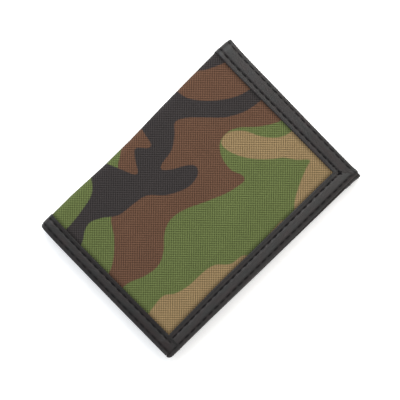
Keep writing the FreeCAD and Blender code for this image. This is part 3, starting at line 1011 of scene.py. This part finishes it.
def thread_mesh(name, strands, radius=THREAD_R, sides=6, material="thread"):
    """Short tubes along strands of points."""
    points, faces, cloth = [], [], []
    for strand, up in strands:
        tangent = np.gradient(strand, axis=0)
        tangent /= np.linalg.norm(tangent, axis=1)[:, None]
        up = up - np.sum(up * tangent, 1)[:, None] * tangent
        up /= np.linalg.norm(up, axis=1)[:, None] + 1e-12
        beside = np.cross(tangent, up)
        base = len(points)
        count = len(strand)
        for i in range(count):
            for j in range(sides):
                angle = math.tau * j / sides
                offset = radius * (math.cos(angle) * up[i] + math.sin(angle) * beside[i])
                points.append(strand[i] + offset)
                cloth.append((i * 0.6 + base * 0.01, angle))
        for i in range(count - 1):
            for j in range(sides):
                k = (j + 1) % sides
                row = base + i * sides
                faces.append((row + j, row + k, row + sides + k, row + sides + j))
        faces.append(tuple(base + j for j in range(sides)))
        last = base + (count - 1) * sides
        faces.append(tuple(last + j for j in reversed(range(sides))))
    return make_object(name, np.array(points), faces, np.array(cloth), MATERIALS[material])


def corner_cut(length, ratio):
    """Mitre: tape lines end sooner the further they are from the edge."""
    def cut(along, q):
        near = np.clip((along - (length - MITRE_REACH)) / MITRE_REACH, 0, 1)
        return along - near * (np.maximum(q, 0) * ratio + 0.06)
    return cut


def edge_place(chain, edge_y, into):
    """Places along a chain's top or bottom edge."""
    def place(along, q, depth):
        return chain.point(along, edge_y + into * q, depth)
    return place


def side_place(chain):
    """Places along a free edge: the first value runs up the wallet."""
    def place(up, q, depth):
        return chain.point(chain.length - q, up, depth)
    return place


TOP_ROWS = (0.18, 0.74)
BOTTOM_ROWS = (0.28, 0.75)
SIDE_ROWS = (0.24, 0.725)
BOTTOM_TAPE_SHORT = 2.6        # the bottom tape stops this far short of the front flap's edge
EDGE_PAINTED_SHADE = 0.38              # painted shade on the inner edges of the bottom and side tapes
TACK_REACH = 1.4
TUCK = 0.6                     # the side tape's low end lies this far inside the bottom tape
OVER_TAPE = 0.24               # the bottom tape climbs this far over the side tape
CLIMB_LENGTH = 2.5
MITRE_REACH = 12.0             # length of tape that is drawn in to make a mitre
SEAM_SHORT = 1.0               # a seam stops this far before the end of its tape
INNER_SHORT = EDGE_WIDTH - 4.0     # and the long tapes' inner seam by this much more
SIDE_INNER_SHORT = 3.6         # and the side tapes' inner seam by this much more
SEAM_UNDER = 1.5               # the side tapes' seams start this far under the bottom tape


def chain_bindings(chain):
    """Tapes along a chain's long edges: shell lip, lining lip and bottom."""
    cut = None
    if has_free_edge(chain):
        ratio = side_width(chain, HALF_H) / top_width(chain, chain.length)
        cut = corner_cut(chain.length, ratio)
    top = edge_place(chain, HALF_H, -1)
    bottom = edge_place(chain, -HALF_H, 1)
    span = (0, chain.length)
    short = (0, chain.length - BOTTOM_TAPE_SHORT * (chain.name == "front"))
    inner_end = chain.length - SEAM_SHORT - INNER_SHORT
    ends = (math.inf, inner_end) if has_free_edge(chain) else None

    def over_side_tape(along, q):
        climb = chain.length - EDGE_WIDTH - CLIMB_LENGTH
        return OVER_TAPE * smooth((along - climb) / CLIMB_LENGTH) * has_free_edge(chain)

    def wide_top(along):
        return top_width(chain, along)

    def wide_bottom(along):
        return bottom_width(chain, along)

    return {
        "top_shell": Binding(top, span, wide_top, 0.0, LIP_IN, TOP_ROWS, cut),
        "top_lining": Binding(top, span, wide_top, LIP_OUT, STACK_IN, TOP_ROWS, cut),
        "bottom": Binding(bottom, short, wide_bottom, 0.0, STACK_IN, BOTTOM_ROWS, None,
                          over_side_tape, ends, EDGE_PAINTED_SHADE),
    }


def bind_chain(chain):
    strands = []
    for index, (kind, binding) in enumerate(chain_bindings(chain).items()):
        piece = binding.mesh(f"tape_{kind}_{chain.name}")
        add_piece(piece, chain_nodes(chain, f"binding_{kind}"), chain)
        for number, row in enumerate(binding.rows):
            end = binding.span[1]
            if has_free_edge(chain):
                end -= SEAM_SHORT + INNER_SHORT * number
            for face in (-1, 1):
                seed = index * 10 + number * 3 + face
                strands += binding.stitches(row, face, (0, end), seed)
    add_piece(thread_mesh(f"seams_{chain.name}", strands), [], chain)


def tucked(chain, up, q):
    """Lift the low end of a side tape to lie inside the bottom tape where that covers it."""
    bare = BOTTOM_TAPE_SHORT * (chain.name == "front")
    covered = smooth((q - bare + 0.5) / 0.5)
    return up + TUCK * covered * smooth(1 - (up + HALF_H) / 4)


def bind_free_edge(chain, node, body):
    ratio = top_width(chain, chain.length) / side_width(chain, HALF_H)
    mitre = corner_cut(HALF_H, ratio)

    def wide(up):
        return side_width(chain, up)

    def cut(up, q):
        return tucked(chain, mitre(up, q), q)

    binding = Binding(side_place(chain), (-HALF_H + 0.05, HALF_H), wide, 0.0, STACK_IN,
                      SIDE_ROWS, cut, shade=EDGE_PAINTED_SHADE)
    piece = binding.mesh(f"tape_edge_{chain.name}", "lit_side_tape")
    add_piece(piece, [node], body)
    strands = []
    for number, row in enumerate(SIDE_ROWS):
        span = (-HALF_H + BOTTOM_WIDTH - SEAM_UNDER,
                HALF_H - SEAM_SHORT - SIDE_INNER_SHORT * number)
        for face in (-1, 1):
            strands += binding.stitches(row, face, span, 40 + number * 3 + face)
    for face in (-1, 1):
        strands += corner_tack(chain, face)
    add_piece(thread_mesh(f"seams_edge_{chain.name}", strands), [], body)


def corner_tack(chain, face):
    """The inner seams run on past each other over the mitre, sewn twice."""
    across = SIDE_ROWS[1] * side_width(chain, HALF_H)
    down = TOP_ROWS[1] * top_width(chain, chain.length)
    base = 0.0 if face < 0 else STACK_IN
    reach = TACK_REACH * (2 * STITCH_STEPS - 1)
    lift = face * THREAD_R * STITCH_SHAPE
    strands = []
    for shift in (-THREAD_R, THREAD_R):
        for run_x, run_y in ((reach, shift), (shift, reach)):
            along = chain.length - across + run_x
            y = HALF_H - down + run_y
            points = chain.point(along, y, base + lift)
            strands.append((points, chain.point(along, y, base + lift + face * 0.1) - points))
    return strands


for chain in CHAINS.values():
    shell(chain)
    lining(chain)
    bind_chain(chain)
bind_free_edge(CHAINS["front"], "binding_edge_front", "front_flap")
bind_free_edge(CHAINS["inner"], "binding_edge_inner", "inner_flap")


# ---- sheets and strips sewn to the panels ----------------------------------------------------
def marks(*stops, size=1.0):
    """Grid lines that fall on every stop."""
    lines = [steps(a, b, size)[:-1] for a, b in zip(stops, stops[1:])]
    return np.append(np.concatenate(lines), stops[-1])


SHEET_RISE = 5.0               # a sheet reaches its full height this far in from its seams
SHEET_SAG = 0.08


class Sheet:
    """A sheet sewn to a body between two corners. out is +1 if it faces up and -1 if down.

    base is the height of the cloth it is sewn to, and rise how far its middle stands off it.
    """

    def __init__(self, body, low, high, base, out, rise, cloth=0.35, open_top=False, seed=1):
        self.body = body
        self.low = low
        self.high = high
        self.base = base
        self.out = out
        self.rise = rise
        self.cloth = cloth
        self.open_top = open_top
        self.seed = seed

    def height(self, x, y):
        """Height of the sheet's outer face."""
        side = np.minimum(x - self.low[0], self.high[0] - x)
        end = y - self.low[1]
        if not self.open_top:
            end = np.minimum(end, self.high[1] - y)
        lift = smooth(side / SHEET_RISE) * smooth(end / SHEET_RISE)
        sag = 1 + SHEET_SAG * (ripple(x, y, self.seed, 7) - 1)
        return self.base + self.out * (self.cloth + (self.rise - self.cloth) * lift * sag)

    def lay(self, name, slot, node, xs, ys, keep=None):
        """Make the sheet over a grid, in place of its CAD node."""
        grid_x, grid_y = np.meshgrid(xs, ys, indexing="ij")
        outer = self.height(grid_x, grid_y)
        inner = outer - self.out * self.cloth
        keep = full(xs, ys) if keep is None else keep
        piece = patch(name, xs, ys, keep, outer, inner, MATERIALS[slot])
        add_piece(piece, [node], self.body)

    def at(self, x, y, lift):
        x, y = np.broadcast_arrays(np.asarray(x, float), np.asarray(y, float))
        return np.stack([x, y, self.height(x, y) + self.out * lift], -1)

    def seam(self, start, end):
        """Strands of one straight seam."""
        start, end = np.array(start, float), np.array(end, float)
        length = np.linalg.norm(end - start)
        strands = []
        for place in np.arange(0.4, length - STITCH_LENGTH, STITCH_PITCH):
            part = (place + STITCH_STEPS * STITCH_LENGTH) / length
            x, y = (start + part[:, None] * (end - start)).T
            points = self.at(x, y, THREAD_R * STITCH_SHAPE)
            strands.append((points, self.at(x, y, THREAD_R * STITCH_SHAPE + 0.1) - points))
        return strands

    def border(self, inset, sides="blrt"):
        """Seams round the sheet: bottom, left, right and top."""
        x0, y0 = self.low[0] + inset, self.low[1] + inset
        x1, y1 = self.high[0] - inset, self.high[1] - (0 if self.open_top else inset)
        lines = {"b": ((x0, y0), (x1, y0)), "l": ((x0, y0), (x0, y1)),
                 "r": ((x1, y0), (x1, y1)), "t": ((x0, y1), (x1, y1))}
        return [strand for side in sides for strand in self.seam(*lines[side])]


SEAM_INSET = 1.4               # the pockets' seams run this far inside their edges
TRIM_OUT = 0.3                 # the card pockets' trim stands out over the cloth by this much
TRIM_THICK = 0.95
TRIM_ROW = 0.72
WINDOW_BORDER = 6.0            # width of the cloth round the clear window
ZIP_TAPE_SEWN = 3.0            # width of zip tape that lies under the coin pocket's cloth
ZIP_TAPE_END = 0.5


def sew(name, strands, body):
    add_piece(thread_mesh(name, strands), [], body)


def card_pocket(number):
    node = f"card_pocket_{number}"
    trim_node = f"card_pocket_trim_{number}"
    body = "inner_flap"
    low, high = box(node)
    trim_low, trim_high = box(trim_node)
    rise = high[2] - low[2]
    sheet = Sheet(body, low, high, high[2], -1, rise, open_top=True, seed=20 + number)
    xs = marks(low[0], high[0], size=1.2)
    ys = marks(low[1], high[1], size=1.2)
    sheet.lay(f"{node}_cloth", "pocket_cloth", node, xs, ys)
    sew(f"{node}_seams", sheet.border(SEAM_INSET, "blr"), body)

    def place(x, q, depth):
        y = trim_high[1] - q
        return np.stack([x, y + 0 * x, sheet.height(x, y) - TRIM_OUT + depth], -1)

    def wide(x):
        return high[1] - trim_low[1] + TRIM_OUT + 0 * np.asarray(x)

    trim = Binding(place, (low[0], high[0]), wide, 0.0, TRIM_THICK, (TRIM_ROW,))
    add_piece(trim.mesh(f"{trim_node}_tape"), [trim_node], body)
    strands = trim.stitches(TRIM_ROW, -1, seed=60 + number)
    sew(f"{trim_node}_seam", strands, body)


def id_window():
    body = "center_panel"
    low, high = box("id_window")
    top = box("id_window_frame")[1]
    vinyl = Sheet(body, low + 1, high - 1, low[2], 1, high[2] - low[2] - 0.1, 0.2, seed=31)
    xs = marks(low[0] + 1, high[0] - 1, size=1.5)
    ys = marks(low[1] + 1, high[1] - 1, size=1.5)
    vinyl.lay("id_window_vinyl", "clear_vinyl", "id_window", xs, ys)
    rim = Sheet(body, low, high, low[2], 1, top[2] - low[2], seed=32)
    open_low = low + WINDOW_BORDER
    open_high = high - WINDOW_BORDER
    xs = marks(low[0], open_low[0], open_high[0], high[0])
    ys = marks(low[1], open_low[1], open_high[1], high[1])
    keep = around(xs, ys, open_low, open_high)
    rim.lay("id_window_cloth", "pocket_cloth", "id_window_frame", xs, ys, keep)
    seams = rim.border(SEAM_INSET) + rim.border(WINDOW_BORDER - 1.3)
    sew("id_window_seams", seams, body)


def coin_pocket():
    body = "front_flap"
    low, high = box("coin_pocket")
    tape_low = box("zipper_tape_lower")[0]
    tape_high = box("zipper_tape_upper")[1]
    open_low = (tape_low[0] + ZIP_TAPE_END, tape_low[1] + ZIP_TAPE_SEWN)
    open_high = (tape_high[0] - ZIP_TAPE_END, tape_high[1] - ZIP_TAPE_SEWN)
    sheet = Sheet(body, low, high, high[2], -1, high[2] - low[2], seed=41)
    xs = marks(low[0], open_low[0], open_high[0], high[0], size=1.1)
    ys = marks(low[1], open_low[1], open_high[1], high[1], size=1.1)
    keep = around(xs, ys, open_low, open_high)
    sheet.lay("coin_pocket_cloth", "pocket_cloth", "coin_pocket", xs, ys, keep)
    strands = sheet.border(SEAM_INSET)
    for y in (open_low[1] - 1.0, open_high[1] + 1.0):
        strands += sheet.seam((tape_low[0], y), (tape_high[0], y))
    sew("coin_pocket_seams", strands, body)


def zipper():
    for side in ("lower", "upper"):
        low, high = box(f"zipper_tape_{side}")
        xs, ys = marks(low[0], high[0], size=0.8), marks(low[1], high[1], size=0.5)
        grid_x, grid_y = np.meshgrid(xs, ys, indexing="ij")
        lift = 0.04 * ripple(grid_x, grid_y, 51, 4)
        piece = patch(f"zipper_tape_{side}_cloth", xs, ys, full(xs, ys), low[2] + lift, high[2],
                      MATERIALS["zip_tape"])
        add_piece(piece, [f"zipper_tape_{side}"], "front_flap")
        coil(side)


COIL_PITCH = 1.1
COIL_WIRE = 0.2


def coil(side):
    """One half of the zip's chain: a flattened helix of nylon."""
    low, high = box(f"zipper_coil_{side}")
    middle = (low + high) / 2
    reach = (high - low) / 2 - COIL_WIRE
    turns = (high[0] - low[0]) / COIL_PITCH
    angle = np.linspace(0, math.tau * turns, int(turns * 14))
    phase = 0 if side == "lower" else math.pi
    x = low[0] + COIL_WIRE + 2 * reach[0] * angle / angle[-1]
    y = middle[1] + (reach[1] + 0.12) * np.cos(angle + phase)
    z = middle[2] + reach[2] * np.sin(angle + phase)
    points = np.stack([x, y, z], -1)
    outward = points - np.stack([x, middle[1] + 0 * x, middle[2] + 0 * x], -1)
    piece = thread_mesh(f"zipper_coil_{side}_wire", [(points, outward)], COIL_WIRE, 6, "zip_coil")
    add_piece(piece, [f"zipper_coil_{side}"], "front_flap")


STRIP_BASE = 0.7               # thickness of the strips' woven backing
STRIP_SINK = 0.1
HOOK_PITCH = 1.15
HOOK_WIRE = 0.1
HOOK_RISE = np.array([-0.05, 0.45, 0.8, 0.97, 0.92, 0.7])      # parts of the hook's height
HOOK_ALONG = np.array([0, 0.05, 0.25, 0.7, 1.1, 1.25])
LOOP_PITCH = 0.85
LOOP_WIRE = 0.09
LOOP_ARC = np.linspace(0, math.pi, 7)


def backing(kind, body, out, seed):
    """The woven strip under the hooks or loops."""
    low, high = box(f"{kind}_strip")
    base = low[2] if out > 0 else high[2]
    strip = Sheet(body, low, high, base, out, STRIP_BASE, STRIP_BASE - STRIP_SINK, seed=seed)
    xs, ys = marks(low[0], high[0], size=0.9), marks(low[1], high[1], size=0.9)
    strip.lay(f"{kind}_strip_tape", f"{kind}_tape", f"{kind}_strip", xs, ys)
    return strip


def scattered(strip, margin, pitch):
    """Rows of places over a strip."""
    for x in np.arange(strip.low[0] + margin, strip.high[0] - margin + 0.2, pitch):
        for y in np.arange(strip.low[1] + margin, strip.high[1] - margin + 0.2, pitch):
            yield x, y


def nudged(x, y, draw, reach):
    return np.array([x + draw.uniform(-reach, reach), y + draw.uniform(-reach, reach)])


def hook_strip():
    """Rows of small stiff hooks that face down."""
    strip = backing("hook", "front_flap", -1, 61)
    tall = strip.high[2] - strip.low[2] - STRIP_BASE
    draw = random.Random(62)
    hooks = []
    for x, y in scattered(strip, 1.6, HOOK_PITCH):
        turn = draw.uniform(-0.5, 0.5)
        lean_to = np.array([math.cos(turn), math.sin(turn)]) * draw.uniform(0.3, 0.42)
        flat = nudged(x, y, draw, 0.12) + HOOK_ALONG[:, None] * lean_to
        points = np.column_stack([flat, strip.high[2] - STRIP_BASE - HOOK_RISE * tall])
        hooks.append((points, np.tile([lean_to[1], -lean_to[0], 0.01], (len(points), 1))))
    piece = thread_mesh("hook_strip_hooks", hooks, HOOK_WIRE, 4, "hook_tape")
    add_piece(piece, [], strip.body)
    sew("hook_strip_seams", strip.border(0.8), strip.body)


def loop_strip():
    """A tangled pile of loops that faces up."""
    strip = backing("loop", "inner_flap", 1, 71)
    bottom = strip.low[2] + STRIP_BASE - STRIP_SINK
    tall = strip.high[2] - strip.low[2] - STRIP_BASE - STRIP_SINK
    draw = random.Random(72)
    loops = []
    for x, y in scattered(strip, 1.8, LOOP_PITCH):
        turn = draw.uniform(0, math.tau)
        heading = np.array([math.cos(turn), math.sin(turn)])
        size = draw.uniform(0.45, 0.8)
        flat = nudged(x, y, draw, 0.3) - np.cos(LOOP_ARC)[:, None] * heading * size
        rise = bottom + np.sin(LOOP_ARC) * tall * draw.uniform(0.6, 1.0)
        points = np.column_stack([flat, rise])
        loops.append((points, np.tile([-heading[1], heading[0], 0.01], (len(points), 1))))
    piece = thread_mesh("loop_strip_pile", loops, LOOP_WIRE, 4, "loop_tape")
    add_piece(piece, [], strip.body)
    sew("loop_strip_seams", strip.border(0.8), strip.body)


for number in (1, 2, 3):
    card_pocket(number)
id_window()
coin_pocket()
zipper()
hook_strip()
loop_strip()
for node in ("zipper_slider", "zipper_pull", "zipper_stops"):
    for place in frame["nodes"][node].material_slots:
        place.material = MATERIALS["zip_metal"]


# ---- floor, light and camera -----------------------------------------------------------------
def floor():
    nodes = Nodes("floor")
    nodes.finish((0.93, 0.93, 0.93, 1), 0.9)
    nodes.shader.inputs["Emission Color"].default_value = (1, 1, 1, 1)
    nodes.shader.inputs["Emission Strength"].default_value = FLOOR_GLOW
    bpy.ops.mesh.primitive_plane_add(size=6, location=(0, 0, LOW[2] * MM - FLOOR_DROP))
    plane = bpy.context.object
    plane.name = "floor"
    plane.data.materials.append(nodes.material)


def area_light(name, location, power, colour):
    """A square soft box that faces the wallet."""
    light = bpy.data.lights.new(name, "AREA")
    light.size = LAMP_SIZE
    light.energy = power
    light.color = colour
    lamp = bpy.data.objects.new(name, light)
    bpy.context.scene.collection.objects.link(lamp)
    lamp.location = location
    aim = -Vector(location)
    lamp.rotation_mode = "QUATERNION"
    lamp.rotation_quaternion = aim.to_track_quat("-Z", "Y")


CAMERA_HEIGHT = 0.607
CAMERA_LENS = 113.7
CAMERA_SHIFT = (-0.16, 0.2)
CAMERA_UP_DEG = 135.78         # picture's up direction, from +X in the wallet's plane
FLOOR_DROP = 0.0004            # room for the swell of the cloth underneath
HORIZON_GLOW = 0.95            # the surroundings are brighter low down than overhead
ZENITH_GLOW = 0.3
FLOOR_GLOW = 0.35              # keeps the floor a clean white up to the wallet
LAMP_SIZE = 0.5


def camera():
    data = bpy.data.cameras.new("camera")
    data.lens = CAMERA_LENS
    data.sensor_width = 36
    data.clip_start = 0.01
    view = bpy.data.objects.new("camera", data)
    bpy.context.scene.collection.objects.link(view)
    view.location = (CAMERA_SHIFT[0] * MM, CAMERA_SHIFT[1] * MM, CAMERA_HEIGHT)
    view.rotation_euler = (0, 0, math.radians(CAMERA_UP_DEG - 90))
    bpy.context.scene.camera = view


def light():
    """White surroundings, two soft boxes beyond the picture's top and two weak ones below."""
    world = bpy.data.worlds.new("studio")
    world.use_nodes = True
    tree = world.node_tree
    split = tree.nodes.new("ShaderNodeSeparateXYZ")
    fade = tree.nodes.new("ShaderNodeMapRange")
    fade.inputs["To Min"].default_value = HORIZON_GLOW
    fade.inputs["To Max"].default_value = ZENITH_GLOW
    sky = tree.nodes.new("ShaderNodeTexCoord").outputs["Generated"]
    tree.links.new(sky, split.inputs[0])
    tree.links.new(split.outputs[2], fade.inputs["Value"])
    tree.nodes["Background"].inputs[0].default_value = (1, 1, 1, 1)
    tree.links.new(fade.outputs[0], tree.nodes["Background"].inputs[1])
    bpy.context.scene.world = world
    turn = math.radians(CAMERA_UP_DEG)
    up = Vector((math.cos(turn), math.sin(turn), 0))
    right = Vector((math.sin(turn), -math.cos(turn), 0))
    beyond = up * 0.33 + Vector((0, 0, 0.52))
    before = -up * 0.4 + Vector((0, 0, 0.25))
    area_light("cool_key", beyond - right * 0.16, 2.6, (0.86, 0.93, 1))
    area_light("warm_key", beyond + right * 0.13, 2.65, (1, 0.96, 0.88))
    area_light("cool_fill", before - right * 0.45, 0.6, (0.7, 0.82, 1))
    area_light("warm_fill", before + right * 0.5, 0.5, (1, 0.96, 0.8))


floor()
light()
camera()
bpy.context.scene.view_settings.view_transform = "Standard"
